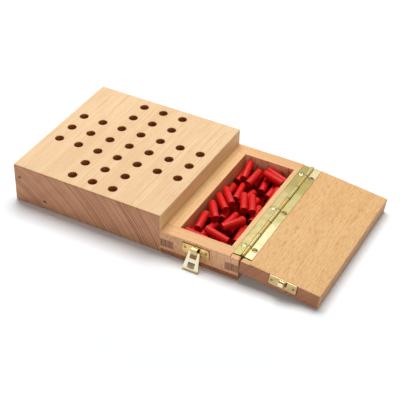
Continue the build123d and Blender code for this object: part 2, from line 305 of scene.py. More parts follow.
def new_group(name, inputs, outputs):
    """An empty shader group with named sockets; gives the tree and both ends' sockets."""
    tree = bpy.data.node_groups.new(name, "ShaderNodeTree")
    for label, kind, value in inputs:
        socket = tree.interface.new_socket(label, in_out="INPUT", socket_type="NodeSocket" + kind)
        socket.default_value = value
    for label, kind in outputs:
        tree.interface.new_socket(label, in_out="OUTPUT", socket_type="NodeSocket" + kind)
    start = tree.nodes.new("NodeGroupInput").outputs
    end = tree.nodes.new("NodeGroupOutput").inputs
    return tree, start, end


# Patterns of the beech. Rates are changes per millimetre, across the grain twice and then along
# it. An edge is the two values that a pattern fades between, and the levels it reaches there
# where they aren't 0 and 1.
drift_rates = (0.05, 0.05, 0.008)
drift_width = 2.5
year_rate = 0.45
year_width = 1.6
late_wood_edge = (0.30, 0.90)
late_wood_end = (1.0, 0.93)
late_wood_chance = (-0.4, 1.0)
band_edge = (0.05, 0.70)
band_end = (1.0, 0.80)
band_chance = (-0.6, 0.8)
tone_rates = (0.11, 0.11, 0.012)
side_tone_edge = (0.35, 0.70, 0.0, 0.45)
end_tone_edge = (0.35, 0.75, 0.0, 0.25)
pore_rates = (3.6, 3.6, 0.16)
pore_edge = (0.46, 0.70)
fleck_edge = (0.51, 0.64)
streak_rates = (0.85, 0.85, 0.035)
streak_edge = (0.42, 0.66)
end_pores = 0.12
dark_grain = (0.70, 0.52, 0.38, 1)
dark_end = (0.50, 0.38, 0.32, 1)
wood_roughness = (0.0, 1.5, 0.47, 0.66)
end_roughness = 0.1
pore_depth = 0.7
fleck_depth = 0.3
ring_depth = 0.3
surface_outputs = [("Color", "Color"), ("Roughness", "Float"), ("Height", "Float")]


def growth_rings(tree, place, spacing):
    """How far through its year's ring a point lies, 0 to 1, and a chance value for each ring."""
    drift = stretched_noise(tree, place, drift_rates)
    radius = length_of(tree, joined(tree, *split(tree, place)[:2]))
    radius = total(tree, radius, product(tree, drift, drift_width))
    turn = maths(tree, "DIVIDE", radius, spacing)
    year = add_node(tree, "TexNoise", {"W": product(tree, turn, year_rate)},
                    noise_dimensions="1D").outputs[0]
    turn = total(tree, turn, product(tree, year, year_width))
    chance = add_node(tree, "TexWhiteNoise", {"W": maths(tree, "FLOOR", turn)},
                      noise_dimensions="1D").outputs[0]
    return maths(tree, "FRACT", turn), chance


def beech_group():
    """Beech: growth rings round an axis, fine pores along the grain, and ray flecks.

    Place is in millimetres with Z along the grain and the rings' centre at X = Y = 0.
    """
    tree, given, out = new_group(
        "Beech grain",
        [
            ("Place", "Vector", (0, 0, 0)),
            ("End grain", "Float", 0),
            ("Pale wood", "Color", white),
            ("Warm wood", "Color", white),
            ("End wood", "Color", white),
            ("Ring spacing", "Float", 2.5),
            ("Rings", "Float", 0.5),
            ("End rings", "Float", 0.5),
            ("Pores", "Float", 0.5),
            ("Streaks", "Float", 0.4),
            ("Flecks", "Float", 0.5),
            ("Fleck rates", "Vector", (2.2, 2.2, 0.45)),
        ],
        surface_outputs,
    )
    place = given["Place"]
    through, chance = growth_rings(tree, place, given["Ring spacing"])
    ring = product(tree, between(tree, through, *late_wood_edge),
                   between(tree, through, *late_wood_end),
                   between(tree, chance, *late_wood_chance))
    band = product(tree, between(tree, through, *band_edge), between(tree, through, *band_end),
                   between(tree, chance, *band_chance))
    tone = stretched_noise(tree, place, tone_rates, cloudy_noise)
    pores = between(tree, stretched_noise(tree, place, pore_rates, fine_noise), *pore_edge)
    streaks = between(tree, stretched_noise(tree, place, streak_rates, fine_noise), *streak_edge)
    flecks = stretched_noise(tree, place, given["Fleck rates"], plain_noise)
    flecks = product(tree, between(tree, flecks, *fleck_edge), less(tree, 1.0, given["End grain"]))

    warm = total(tree, product(tree, ring, given["Rings"]),
                 product(tree, streaks, given["Streaks"]))
    warm = greatest(tree, warm, between(tree, tone, *side_tone_edge))
    colour = mixed(tree, warm, given["Pale wood"], given["Warm wood"])
    darker = tinted(tree, 1.0, colour, dark_grain)
    colour = mixed(tree, product(tree, flecks, given["Flecks"]), colour, darker)
    colour = mixed(tree, product(tree, pores, given["Pores"]), colour, darker)

    darker_end = tinted(tree, 1.0, given["End wood"], dark_end)
    end_band = total(tree, product(tree, band, given["End rings"]),
                     product(tree, pores, end_pores))
    end_colour = mixed(tree, end_band, given["End wood"], darker_end)
    end_colour = mixed(tree, between(tree, tone, *end_tone_edge), end_colour, darker_end)
    feed(out["Color"], mixed(tree, given["End grain"], colour, end_colour))

    rough = between(tree, total(tree, pores, flecks), *wood_roughness)
    rough = total(tree, rough, product(tree, given["End grain"], end_roughness))
    feed(out["Roughness"], rough)
    dips = total(tree, product(tree, pores, pore_depth), product(tree, flecks, fleck_depth),
                 product(tree, ring, ring_depth))
    feed(out["Height"], less(tree, 1.0, dips))
    return tree


# Patterns of the brass
line_edge = (0.35, 0.75)
line_tarnish = 0.5
line_roughness = 0.15
cloud_rate = 0.16
cloud_edge = (0.35, 0.68)
cloud_roughness = 0.08
spot_rate = 1.1
spot_edge = (0.62, 0.74)
spot_tarnish = 0.12


def brass_group():
    """Rolled brass: fine lines along one direction, cloudy tarnish and small dull spots."""
    tree, given, out = new_group(
        "Brushed brass",
        [
            ("Place", "Vector", (0, 0, 0)),
            ("Line rates", "Vector", (1, 1, 1)),
            ("Bright", "Color", white),
            ("Tarnished", "Color", white),
            ("Tarnish", "Float", 0.4),
            ("Lines", "Float", 0.4),
            ("Polish", "Float", 0.25),
        ],
        surface_outputs,
    )
    place = given["Place"]
    lines = stretched_noise(tree, place, given["Line rates"], brushed_noise)
    worn_lines = product(tree, between(tree, lines, *line_edge), given["Lines"])
    clouds = between(tree, noise(tree, place, cloud_rate, fine_noise), *cloud_edge)
    spots = between(tree, noise(tree, place, spot_rate), *spot_edge)
    dull = total(tree, product(tree, clouds, given["Tarnish"]),
                 product(tree, worn_lines, line_tarnish), product(tree, spots, spot_tarnish))
    feed(out["Color"], mixed(tree, dull, given["Bright"], given["Tarnished"]))
    rough = total(tree, given["Polish"], product(tree, worn_lines, line_roughness),
                  product(tree, clouds, cloud_roughness))
    feed(out["Roughness"], rough)
    feed(out["Height"], product(tree, lines, given["Lines"]))
    return tree


# Patterns of the dye
dye_grain_rates = (2.4, 2.4, 0.22)
dye_grain_edge = (0.48, 0.74, 0.0, 0.35)
dye_cloud_rate = 0.25
dye_cloud_edge = (0.40, 0.70, 0.0, 0.25)
# The pegs' ends are darker, by thicker dye and by painted shade
dyed_and_shaded_end_edge = (0.30, 0.08, 0.0, 0.85)
dye_roughness = 0.32
dye_grain_roughness = 0.16


def dye_group():
    """Dyed wood: the red lies thicker on the ends, which are darker also as painted shade, and
    fine grain shows through it.
    """
    tree, given, out = new_group(
        "Dyed wood",
        [
            ("Place", "Vector", (0, 0, 0)),
            ("Red", "Color", (1, 0, 0, 1)),
            ("Deep red", "Color", (0.5, 0, 0, 1)),
            ("Half length", "Float", 10),
        ],
        surface_outputs,
    )
    place = given["Place"]
    grain = stretched_noise(tree, place, dye_grain_rates, fine_noise)
    to_end = less(tree, given["Half length"], size_of(tree, split(tree, place)["Z"]))
    deep = total(tree, between(tree, grain, *dye_grain_edge),
                 between(tree, noise(tree, place, dye_cloud_rate), *dye_cloud_edge))
    deep = greatest(tree, deep, between(tree, to_end, *dyed_and_shaded_end_edge))
    feed(out["Color"], mixed(tree, deep, given["Red"], given["Deep red"]))
    rough = total(tree, product(tree, grain, dye_grain_roughness), dye_roughness)
    feed(out["Roughness"], rough)
    feed(out["Height"], grain)
    return tree


beech_grain = beech_group()
brushed_brass = brass_group()
dyed_wood = dye_group()

# Each material's bump, as its depth in millimetres and its strength
wood_bump = (0.10, 0.18)
brass_bump = (0.03, 0.3)
peg_bump = (0.10, 0.25)
peg_gloss = 0.22


def new_material(name):
    """A material with its Principled shader; gives the material, its tree and that shader."""
    made = bpy.data.materials.new(name)
    made.use_nodes = True
    return made, made.node_tree, made.node_tree.nodes["Principled BSDF"]


def use_group(tree, group, inputs):
    """All the outputs of a group, with its inputs given."""
    made = tree.nodes.new("ShaderNodeGroup")
    made.node_tree = group
    for name, value in inputs.items():
        feed(made.inputs[name], value)
    return made.outputs


def finish_surface(tree, shader, look, colour, bump_depth, bump_strength):
    """Feeds a group's colour, roughness and height into the material's shader."""
    feed(shader.inputs["Base Color"], colour)
    feed(shader.inputs["Roughness"], look["Roughness"])
    bump = add_node(tree, "Bump", {"Height": look["Height"], "Strength": bump_strength,
                                   "Distance": bump_depth * mm})
    feed(shader.inputs["Normal"], bump.outputs[0])


def millimetres(tree, turn=(0, 0, 0), shift=(0, 0, 0)):
    """Object coordinates in millimetres, turned and moved for the piece's own pattern."""
    place = add_node(tree, "TexCoord", {}).outputs["Object"]
    angles = [math.radians(angle) for angle in turn]
    inputs = {"Vector": place, "Location": shift, "Rotation": angles, "Scale": (1 / mm,) * 3}
    return add_node(tree, "Mapping", inputs).outputs[0]


pin_place = Vector((pin_x, 0, pin_z))
lid_turn = 180 + lid_tilt
shutting = Matrix.Rotation(math.radians(-lid_turn), 3, "Y")


def shut_place(tree):
    """Where a point of the opened lid lies once the lid is shut, in millimetres."""
    return millimetres(tree, (0, -lid_turn, 0), pin_place - shutting @ pin_place)


# The turn that lays a pattern's grain along Y or along X, and the way it then runs
grain_turns = {"Y": (90, 0, 0), "X": (0, -90, 0)}
grain_ways = {"Y": (0, 1, 0), "X": (1, 0, 0)}

# How squarely a surface faces a way where a look fades in
end_grain_facing = (0.72, 0.97)
wall_facing = (0.80, 0.95)
outer_facing = (0.60, 0.95)
flank_facing = (0.45, 0.80)


def facing(tree, way):
    """How far the surface faces one way, from 1 straight towards it to -1 away from it."""
    normal = add_node(tree, "TexCoord", {}).outputs["Normal"]
    return vector_maths(tree, "DOT_PRODUCT", normal, way, output=1)


def facing_either(tree, way):
    """How far the surface faces one way or its opposite, from 0 to 1."""
    return size_of(tree, facing(tree, way))


def beech(name, grain, centre, pale, warm, end, spacing, rings, end_rings=0.6, pores=0.25,
          flecks=0.3, streaks=0.3, fleck_rates=(2.2, 2.2, 0.30), gloss=0.35, marks=None):
    """A beech material for one piece; centre is the rings' centre across the grain."""
    made, tree, shader = new_material(name)
    look = use_group(tree, beech_grain, {
        "Place": millimetres(tree, grain_turns[grain], (-centre[0], -centre[1], 0)),
        "End grain": between(tree, facing_either(tree, grain_ways[grain]), *end_grain_facing),
        "Pale wood": pale,
        "Warm wood": warm,
        "End wood": end,
        "Ring spacing": spacing,
        "Rings": rings,
        "End rings": end_rings,
        "Pores": pores,
        "Streaks": streaks,
        "Flecks": flecks,
        "Fleck rates": fleck_rates,
    })
    colour = look["Color"]
    if marks:
        colour = marks(tree, colour)
    finish_surface(tree, shader, look, colour, *wood_bump)
    shader.inputs["Specular IOR Level"].default_value = gloss
    return made


# Marks on the wood. A fade is where a mark starts and where it is whole, in millimetres from
# its place, and then its strength where that isn't 1. Tints multiply the wood's colour.
# Painted light: the block's right side is made paler
lit_side_fade = (-0.5, -0.1, 0.75)
lit_side_tint = (1.20, 1.22, 1.12, 1)
# Painted light: the front of the tray's end walls is made paler
lit_front_fade = (0.4, 0.1)
lit_front_tint = (1.12, 1.06, 1.22, 1)
knot_fade = (1.6, 0.48)
knot_tint = paint(140, 98, 92)
worn_top_fade = (-1.3, -0.7)
worn_front_fade = (0.5, 0.0)
worn_tint = paint(238, 200, 150)
# Painted shade and burnt wood: the walls of the peg holes are darker
burnt_and_shaded_fade = (-0.02, -0.35)
burnt_and_shaded_tint = paint(219, 180, 134)
# Dye and painted shade: the tray's floor between the pegs is very dark red
dyed_and_shaded_floor_fade = (0.2, -1.0)
dye_and_shade_tint = paint(118, 18, 12)
# Painted light: the insides of the tray's front and back walls are made paler
inner_wall_light_fade = (0.25, 0.05)
inner_wall_light_colour = paint(250, 206, 160)
smear_rate = 0.75
smear_stretch = 0.22
smear_edge = (0.50, 0.66, 0.0, 0.75)
smear_tint = paint(206, 110, 84)
# Painted shadow: a dark line on the wood round each plate of the latch
plate_shadow_fade = (0.90, 0.40, 0.70)
plate_shadow_tint = paint(128, 88, 58)
# Painted shade: a dark line along the edge of each hinge leaf's rebate
leaf_shade_out = leaf_reach + 0.1
leaf_shade_fade = (0.50, 0.15, 0.35)
leaf_shade_tint = paint(164, 120, 80)
# Painted shade: the lid's outer side is a little greyer
outer_shade_tint = paint(236, 228, 236)


def near_knot(tree, place, knot):
    """1 in a knot's middle, falling to 0 at its edge."""
    away = vector_maths(tree, "SUBTRACT", place, knot)
    away = length_of(tree, vector_maths(tree, "MULTIPLY", away, knot_stretch))
    return fading(tree, away, 0, *knot_fade)


def block_marks(tree, colour):
    """The block's right side made paler as painted light, two small knots, its worn front edge,
    and its holes darkened as burnt wood and painted shade.
    """
    place = millimetres(tree)
    x, y, z = split(tree, place)
    # Painted light on the right side
    side = fading(tree, x, block_half_x, *lit_side_fade)
    colour = tinted(tree, side, colour, lit_side_tint)
    for knot in knots:
        colour = tinted(tree, near_knot(tree, place, knot), colour, knot_tint)
    edge = product(tree, fading(tree, z, block_top, *worn_top_fade),
                   fading(tree, y, -block_half_y, *worn_front_fade))
    colour = tinted(tree, edge, colour, worn_tint)
    # The walls of the holes: burnt wood and painted shade
    hole_wall = product(
        tree,
        maths(tree, "LESS_THAN", size_of(tree, x), holes_half_x),
        maths(tree, "LESS_THAN", size_of(tree, y), holes_half_y),
        maths(tree, "GREATER_THAN", z, holes_low_z),
        fading(tree, z, block_top, *burnt_and_shaded_fade),
    )
    return tinted(tree, hole_wall, colour, burnt_and_shaded_tint)


def dyed_and_shaded_floor(tree, colour):
    """Red dye and dust rubbed off the pegs onto the tray's floor, darkened further as painted
    shade between the pegs.
    """
    x, y = split(tree, millimetres(tree))[:2]
    across = far_from(tree, x, sum(well_x) / 2)
    inside = product(tree, fading(tree, across, (well_x[1] - well_x[0]) / 2, *dyed_and_shaded_floor_fade),
                     fading(tree, size_of(tree, y), well_half_y, *dyed_and_shaded_floor_fade))
    return tinted(tree, inside, colour, dye_and_shade_tint)


def rubbed_and_lit_walls(tree, colour):
    """Upright smears of dye on the insides of the tray's front and back walls, with painted light
    making those insides paler.
    """
    x, y, z = split(tree, millimetres(tree))
    smear = noise(tree, joined(tree, x, product(tree, z, smear_stretch), y), smear_rate)
    inside = product(tree, fading(tree, size_of(tree, y), well_half_y, *inner_wall_light_fade),
                     between(tree, facing_either(tree, (0, 1, 0)), *wall_facing))
    # Painted light on the insides of the walls
    colour = mixed(tree, inside, colour, inner_wall_light_colour)
    smear = product(tree, inside, between(tree, smear, *smear_edge))
    return tinted(tree, smear, colour, smear_tint)


def on_front(tree, y):
    """1 on the front of the tray and the lid, 0 behind it."""
    return fading(tree, y, -block_half_y, *lit_front_fade)


def plate_shadow_line(tree, colour, place, reach_z):
    """The painted shadow, a dark line on the wood's front round a plate of the latch."""
    x, y, z = split(tree, place)
    off_x = less(tree, far_from(tree, x, latch_x), plate_half_width)
    off_z = less(tree, far_from(tree, z, sum(reach_z) / 2), (reach_z[1] - reach_z[0]) / 2)
    off = size_of(tree, greatest(tree, off_x, off_z))
    line = product(tree, fading(tree, off, 0, *plate_shadow_fade), on_front(tree, y))
    return tinted(tree, line, colour, plate_shadow_tint)


def end_wall_marks(tree, colour):
    """The dye smears and painted light inside, painted light on the paler front, which sees the
    most light, and the painted shadow round the plate.
    """
    place = millimetres(tree)
    colour = rubbed_and_lit_walls(tree, colour)
    # Painted light on the front
    colour = tinted(tree, on_front(tree, split(tree, place)["Y"]), colour, lit_front_tint)
    return plate_shadow_line(tree, colour, place, latch_plate_z)


def leaf_shade_line(tree, colour):
    """The painted shade, a dark line along the edge of each hinge leaf's rebate."""
    x = split(tree, millimetres(tree))["X"]
    off = far_from(tree, far_from(tree, x, pin_x), leaf_shade_out)
    line = product(tree, fading(tree, off, 0, *leaf_shade_fade),
                   between(tree, facing(tree, (0, 0, 1)), *wall_facing))
    return tinted(tree, line, colour, leaf_shade_tint)


def lid_marks(tree, colour):
    """The outer side, a little greyer as painted shade, the painted shadow round the plate and the
    painted shade along the leaf.
    """
    # Painted shade on the outer side
    outer = between(tree, facing(tree, (1, 0, 0)), *outer_facing)
    colour = tinted(tree, outer, colour, outer_shade_tint)
    colour = plate_shadow_line(tree, colour, shut_place(tree), strike_plate_z)
    return leaf_shade_line(tree, colour)


block_beech = beech(
    "beech_of_block", grain="Y", centre=(-129, 91), pale=paint(236, 203, 159),
    warm=paint(214, 166, 114), end=paint(226, 166, 126), spacing=2.4, rings=0.36,
    end_rings=0.85, pores=0.22, flecks=0.10, streaks=0.42, marks=block_marks)
side_beech = beech(
    "beech_of_side_walls", grain="Y", centre=(-420, 20), pale=paint(238, 196, 139),
    warm=paint(206, 153, 98), end=paint(190, 138, 108), spacing=1.5, rings=0.60,
    end_rings=1.0, flecks=0.18, marks=leaf_shade_line)
end_beech = beech(
    "beech_of_end_walls", grain="X", centre=(-60, 30), pale=paint(233, 185, 130),
    warm=paint(207, 149, 99), end=paint(190, 136, 106), spacing=4.0, rings=0.25, pores=0.18,
    flecks=0.55, streaks=0.2, fleck_rates=(0.30, 1.3, 1.3), marks=end_wall_marks)
floor_beech = beech(
    "beech_of_tray_floor", grain="Y", centre=(-20, 90), pale=paint(222, 176, 130),
    warm=paint(200, 150, 106), end=paint(196, 130, 92), spacing=3.0, rings=0.3, gloss=0,
    marks=dyed_and_shaded_floor)
lid_beech = beech(
    "beech_of_lid", grain="Y", centre=(315, 135), pale=paint(229, 184, 124),
    warm=paint(210, 155, 94), end=paint(194, 130, 94), spacing=2.0, rings=0.20,
    end_rings=0.5, pores=0.22, flecks=0.50, streaks=0.44, fleck_rates=(1.8, 1.8, 0.19),
    marks=lid_marks)


def brass(name, bright, tarnished, line_rates, tarnish=0.5, lines=0.4, polish=0.22, marks=None):
    """A metal material for one piece; its lines run the way that their rate is low."""
    made, tree, shader = new_material(name)
    look = use_group(tree, brushed_brass, {
        "Place": millimetres(tree),
        "Line rates": line_rates,
        "Bright": bright,
        "Tarnished": tarnished,
        "Tarnish": tarnish,
        "Lines": lines,
        "Polish": polish,
    })
    colour = look["Color"]
    if marks:
        colour = marks(tree, colour)
    finish_surface(tree, shader, look, colour, *brass_bump)
    shader.inputs["Metallic"].default_value = 1
    return made


# Marks on the metal, with fades as on the wood
# Painted shade round the rim of each screw's head
shaded_rim_fade = (-0.40, -0.12, 0.75)
shaded_rim_colour = paint(96, 76, 44)
# Painted reflection: darker stretches along the hinge's leaves fade in and out over these lengths
reflection_start_fade = (-6, 6)
reflection_end_fade = (3, -3)
knuckle_fade = (2.1, 1.7)
# Painted shade on the hinge: in the seams and gaps of the knuckles, round the screws and at the
# leaves' front ends
seam_fade = (0.45, 0.20)
seam_out_fade = (2.3, 2.0)
gap_top_fade = (0.45, 0.10)
gap_out_fade = (2.1, 1.8)
gap_side_fade = (0.3, 0.9)
screw_shade_fade = (0.55, 0.15, 0.7)
leaf_end_fade = (0.10, 0.04)
hinge_shade = paint(64, 48, 24)
lip_fade = (2.4, 1.8)
lip_gold = paint(206, 182, 116)
# Painted reflection on the latch plate's tab, and painted shadow beside it
tab_fade = (-0.2, -0.6)
tab_reflection_gold = paint(202, 178, 124)
tab_shadow_fade = (1.0, 0.6)
tab_shadow_top_fade = (-0.5, -1.1)
tab_shadow_colour = paint(92, 70, 34)
# Painted reflection on the strike plate's hook, fading into painted shade, with painted shade on
# its flanks and bend and a painted shadow beside it
hook_fade = (-0.1, -0.3)
hook_shade_fade = (0.4, 2.4)
hook_highlight = paint(240, 224, 178)
hook_shade = paint(138, 106, 58)
hook_bend_shade_fade = (0.80, 0.50)
hook_shadow_fade = (0.80, 0.45)
hook_shadow_low_fade = (-0.3, 0.2)
hook_shadow_high_fade = (0.6, 0.2)
hook_deep_shade = paint(84, 62, 32)


def off_screw(tree, x, y, screw_out, screw_y):
    """How far a point of the hinge lies from the axis of the nearest screw."""
    out = less(tree, x, pin_x + screw_out)
    return length_of(tree, joined(tree, out, from_repeat(tree, y, screw_y, screw_spacing)))


def shaded_rim(screw_out, screw_y):
    """Painted shade round the rim of each screw's head."""
    def marks(tree, colour):
        x, y = split(tree, millimetres(tree))[:2]
        off = off_screw(tree, x, y, screw_out, screw_y)
        return mixed(tree, fading(tree, off, screw_head, *shaded_rim_fade), colour, shaded_rim_colour)
    return marks


def hinge_marks(screw_out, screw_y, knuckle_gold, gap_side, reflection_zones):
    """Golden knuckles; painted shade at the leaf's front end, in the seams and gaps between the
    knuckles and round the screws; and darker stretches of painted reflection.

    gap_side is the side of the pin, 1 or -1 along X, where this leaf's knuckles stand clear of
    the other leaf. The last argument gives the leaf's darker stretches of painted reflection as
    (from y, to y, colour), each fading at its ends.
    """
    def marks(tree, colour):
        x, y, z = split(tree, millimetres(tree))
        # Painted reflection: the leaf's darker stretches
        for low_y, high_y, dull in reflection_zones:
            reflection_share = product(tree, fading(tree, y, low_y, *reflection_start_fade),
                           fading(tree, y, high_y, *reflection_end_fade))
            colour = mixed(tree, reflection_share, colour, dull)
        out = less(tree, x, pin_x)
        up = less(tree, z, pin_z)
        reach = length_of(tree, joined(tree, out, up))
        colour = mixed(tree, fading(tree, reach, 0, *knuckle_fade), colour, knuckle_gold)
        # Painted shade in the seams and gaps, round the screws and at the leaf's front end
        seam = from_repeat(tree, y, knuckle_end_y, knuckle_pitch)
        seam = product(tree, fading(tree, seam, 0, *seam_fade),
                       fading(tree, reach, 0, *seam_out_fade))
        clear = product(tree, out, gap_side)
        gap = product(tree, fading(tree, up, 0, *gap_top_fade),
                      fading(tree, reach, 0, *gap_out_fade),
                      fading(tree, clear, 0, *gap_side_fade))
        off = off_screw(tree, x, y, screw_out, screw_y)
        painted_shade = greatest(tree, seam, gap, fading(tree, off, screw_head, *screw_shade_fade),
                         fading(tree, y, leaf_front_y, *leaf_end_fade))
        return mixed(tree, painted_shade, colour, hinge_shade)
    return marks


def golden_lip(tree, colour):
    """The lever's rolled lip, its lowest part, is a deeper gold."""
    z = split(tree, millimetres(tree))["Z"]
    return mixed(tree, fading(tree, z, 0, *lip_fade), colour, lip_gold)


def tab_reflection_and_shadow(tree, colour):
    """The latch plate's tab is a deeper gold as painted reflection, with a painted shadow beside
    it on the plate.
    """
    x, y, z = split(tree, millimetres(tree))
    proud = fading(tree, y, plate_face_y, *tab_fade)
    # Painted shadow beside the tab, and painted reflection on the tab itself
    gap = product(tree, fading(tree, far_from(tree, x, latch_x), hook_half_width, *tab_shadow_fade),
                  fading(tree, z, latch_plate_z[1], *tab_shadow_top_fade),
                  less(tree, 1.0, proud))
    colour = mixed(tree, proud, colour, tab_reflection_gold)
    return mixed(tree, gap, colour, tab_shadow_colour)


def hook_reflection_and_shade(tree, colour):
    """The strike plate's hook stands proud, with a painted reflection turning to painted shade
    across it, painted shade on its flanks and bend, and a painted shadow beside it.
    """
    x, y, z = split(tree, shut_place(tree))
    right = less(tree, latch_x, x)
    proud = fading(tree, y, plate_face_y, *hook_fade)
    # Painted reflection on the hook's face, turning to painted shade on its right
    shaded = mixed(tree, fading(tree, right, 0, *hook_shade_fade), hook_highlight, hook_shade)
    colour = mixed(tree, proud, colour, shaded)
    # Painted shade on the flanks and bend, and a painted shadow beside the hook
    flank = between(tree, facing_either(tree, (1, 0, 0)), *flank_facing)
    bend = fading(tree, far_from(tree, y, hook_bend_y), 0, *hook_bend_shade_fade)
    off = far_from(tree, right, hook_shadow_x)
    gap = product(tree, fading(tree, off, hook_half_width, *hook_shadow_fade),
                  fading(tree, z, hook_z[0], *hook_shadow_low_fade),
                  fading(tree, z, hook_z[1], *hook_shadow_high_fade),
                  less(tree, 1.0, proud))
    dull = greatest(tree, product(tree, flank, proud), bend, gap)
    return mixed(tree, dull, colour, hook_deep_shade)


# Rates of change of the metals' lines along X, Y and Z
along_y = (6.0, 0.10, 6.0)
along_x = (0.2, 5.0, 5.0)
across_x = (5.0, 0.3, 0.3)
nail_spots = (2.0, 2.0, 2.0)
screw_spots = (3.0, 3.0, 3.0)

# The darker stretches of the hinge's leaves, which are painted reflection
tray_leaf_reflections = ((28, 70, paint(138, 128, 78)), (-75, -44, paint(148, 142, 92)))
lid_leaf_reflections = ((24, 50, paint(138, 128, 76)), (-15, 25, paint(154, 143, 98)))

# The two leaves are the same brass; the tray leaf's darker, greener colours and the lid leaf's
# paler ones are painted reflection
tray_leaf_brass = brass(
    "brass_of_tray_leaf", bright=paint(168, 154, 110), tarnished=paint(138, 127, 84),
    line_rates=along_y, tarnish=0.9, polish=0.34,
    marks=hinge_marks(-screw_to_pin, tray_screw_y, knuckle_gold=paint(176, 161, 108),
                      gap_side=1, reflection_zones=tray_leaf_reflections))
lid_leaf_brass = brass(
    "brass_of_lid_leaf", bright=paint(181, 170, 137), tarnished=paint(162, 151, 108),
    line_rates=along_y, tarnish=0.8, polish=0.34,
    marks=hinge_marks(screw_to_pin, lid_screw_y, knuckle_gold=paint(174, 150, 84),
                      gap_side=-1, reflection_zones=lid_leaf_reflections))
latch_plate_brass = brass(
    "brass_of_latch_plate", bright=paint(232, 202, 136), tarnished=paint(180, 144, 82),
    line_rates=along_x, tarnish=0.6, marks=tab_reflection_and_shadow)
strike_plate_brass = brass(
    "brass_of_strike_plate", bright=paint(214, 190, 140), tarnished=paint(170, 142, 90),
    line_rates=along_x, tarnish=0.6, marks=hook_reflection_and_shade)
lever_brass = brass(
    "brass_of_lever", bright=paint(246, 238, 208), tarnished=paint(212, 196, 148),
    line_rates=across_x, tarnish=0.3, lines=0.2, polish=0.15, marks=golden_lip)
nail_brass = brass(
    "brass_of_nails", bright=paint(176, 148, 88), tarnished=paint(112, 84, 44),
    line_rates=nail_spots, tarnish=0.6)
pin_metal = brass(
    "steel_of_pin", bright=paint(190, 178, 140), tarnished=paint(120, 108, 80),
    line_rates=along_y)
# The screws are all alike; the lid screws' darker, more golden colours beside the tray screws' are
# painted reflection
tray_screw_metal = brass(
    "plating_of_tray_screws", bright=paint(196, 188, 150), tarnished=paint(140, 124, 84),
    line_rates=screw_spots, tarnish=0.3, lines=0.25, polish=0.32,
    marks=shaded_rim(-screw_to_pin, tray_screw_y))
lid_screw_metal = brass(
    "plating_of_lid_screws", bright=paint(138, 116, 74), tarnished=paint(92, 72, 40),
    line_rates=screw_spots, tarnish=0.5, lines=0.25, polish=0.32,
    marks=shaded_rim(screw_to_pin, lid_screw_y))


def dyed_pegs():
    """The pegs' red; each peg carries its own place in the grain as an attribute."""
    made, tree, shader = new_material("red_dye_of_pegs")
    place = add_node(tree, "Attribute", {}, attribute_name="peg_place").outputs["Vector"]
    look = use_group(tree, dyed_wood, {
        "Place": place,
        "Red": paint(222, 22, 18),
        "Deep red": paint(146, 5, 5),
        "Half length": peg_length / 2,
    })
    finish_surface(tree, shader, look, look["Color"], *peg_bump)
    shader.inputs["Specular IOR Level"].default_value = peg_gloss
    return made


peg_red = dyed_pegs()


def only(piece):
    """Leaves one object selected and active."""
    bpy.ops.object.select_all(action="DESELECT")
    piece.select_set(True)
    bpy.context.view_layer.objects.active = piece


def dress(piece, material):
    """Gives a piece or a node one material on all its faces."""
    if not piece.material_slots:
        piece.data.materials.append(material)
    for place in piece.material_slots:
        place.material = material


def copied(name, mesh):
    """A new piece with its own copy of a mesh."""
    piece = bpy.data.objects.new(name, mesh.copy())
    bpy.context.scene.collection.objects.link(piece)
    return piece


def stand_for(piece, node):
    """Shows a piece in a node's place, on that node's body."""
    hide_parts(node)
    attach(piece, solids[node]["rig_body"])


def round_edges(piece, width, steps, angle=30):
    """Rounds over every edge that is sharper than an angle."""
    only(piece)
    bevel = piece.modifiers.new("Rounded edges", "BEVEL")
    bevel.width = width * mm
    bevel.segments = steps
    bevel.limit_method = "ANGLE"
    bevel.angle_limit = math.radians(angle)
    bpy.ops.object.modifier_apply(modifier=bevel.name)


def softened(node, name, width, material, slot):
    """A copy of a node with its sharp edges rounded over, which is then shown in its place."""
    piece = copied(name, solids[node].data)
    only(piece)
    if piece.data.has_custom_normals:
        bpy.ops.mesh.customdata_custom_splitnormals_clear()
    bpy.ops.object.mode_set(mode="EDIT")
    bpy.ops.mesh.select_all(action="SELECT")
    bpy.ops.mesh.remove_doubles(threshold=weld_distance)
    bpy.ops.mesh.dissolve_limited(angle_limit=math.radians(flat_angle))
    bpy.ops.object.mode_set(mode="OBJECT")
    round_edges(piece, width, soft_steps, soft_angle)
    bpy.ops.object.shade_smooth_by_angle(angle=math.radians(soft_shading_angle))
    even = piece.modifiers.new("Even shading", "WEIGHTED_NORMAL")
    even.keep_sharp = True
    bpy.ops.object.modifier_apply(modifier=even.name)
    dress(piece, material)
    stand_for(piece, node)


def points_of(mesh):
    """A mesh's points, in metres, as rows of X, Y and Z."""
    points = np.empty(len(mesh.vertices) * 3)
    mesh.vertices.foreach_get("co", points)
    return points.reshape(-1, 3)


def turned(radius, length, middle_z=0):
    """A round bar along Z, given in millimetres with its middle at a height."""
    bpy.ops.object.select_all(action="DESELECT")
    bpy.ops.mesh.primitive_cylinder_add(
        vertices=turned_sides, radius=radius * mm, depth=length * mm,
        location=(0, 0, middle_z * mm))
    bpy.ops.object.transform_apply()
    return bpy.context.object


def pick_ends(piece, *ways):
    """Leaves the piece in edit mode with only its ends picked: 1 is the upper, -1 the lower."""
    only(piece)
    bpy.ops.object.mode_set(mode="EDIT")
    bpy.ops.mesh.select_mode(type="FACE")
    bpy.ops.mesh.select_all(action="DESELECT")
    bpy.ops.object.mode_set(mode="OBJECT")
    for face in piece.data.polygons:
        face.select = any(face.normal.z * way > end_facing for way in ways)
    bpy.ops.object.mode_set(mode="EDIT")


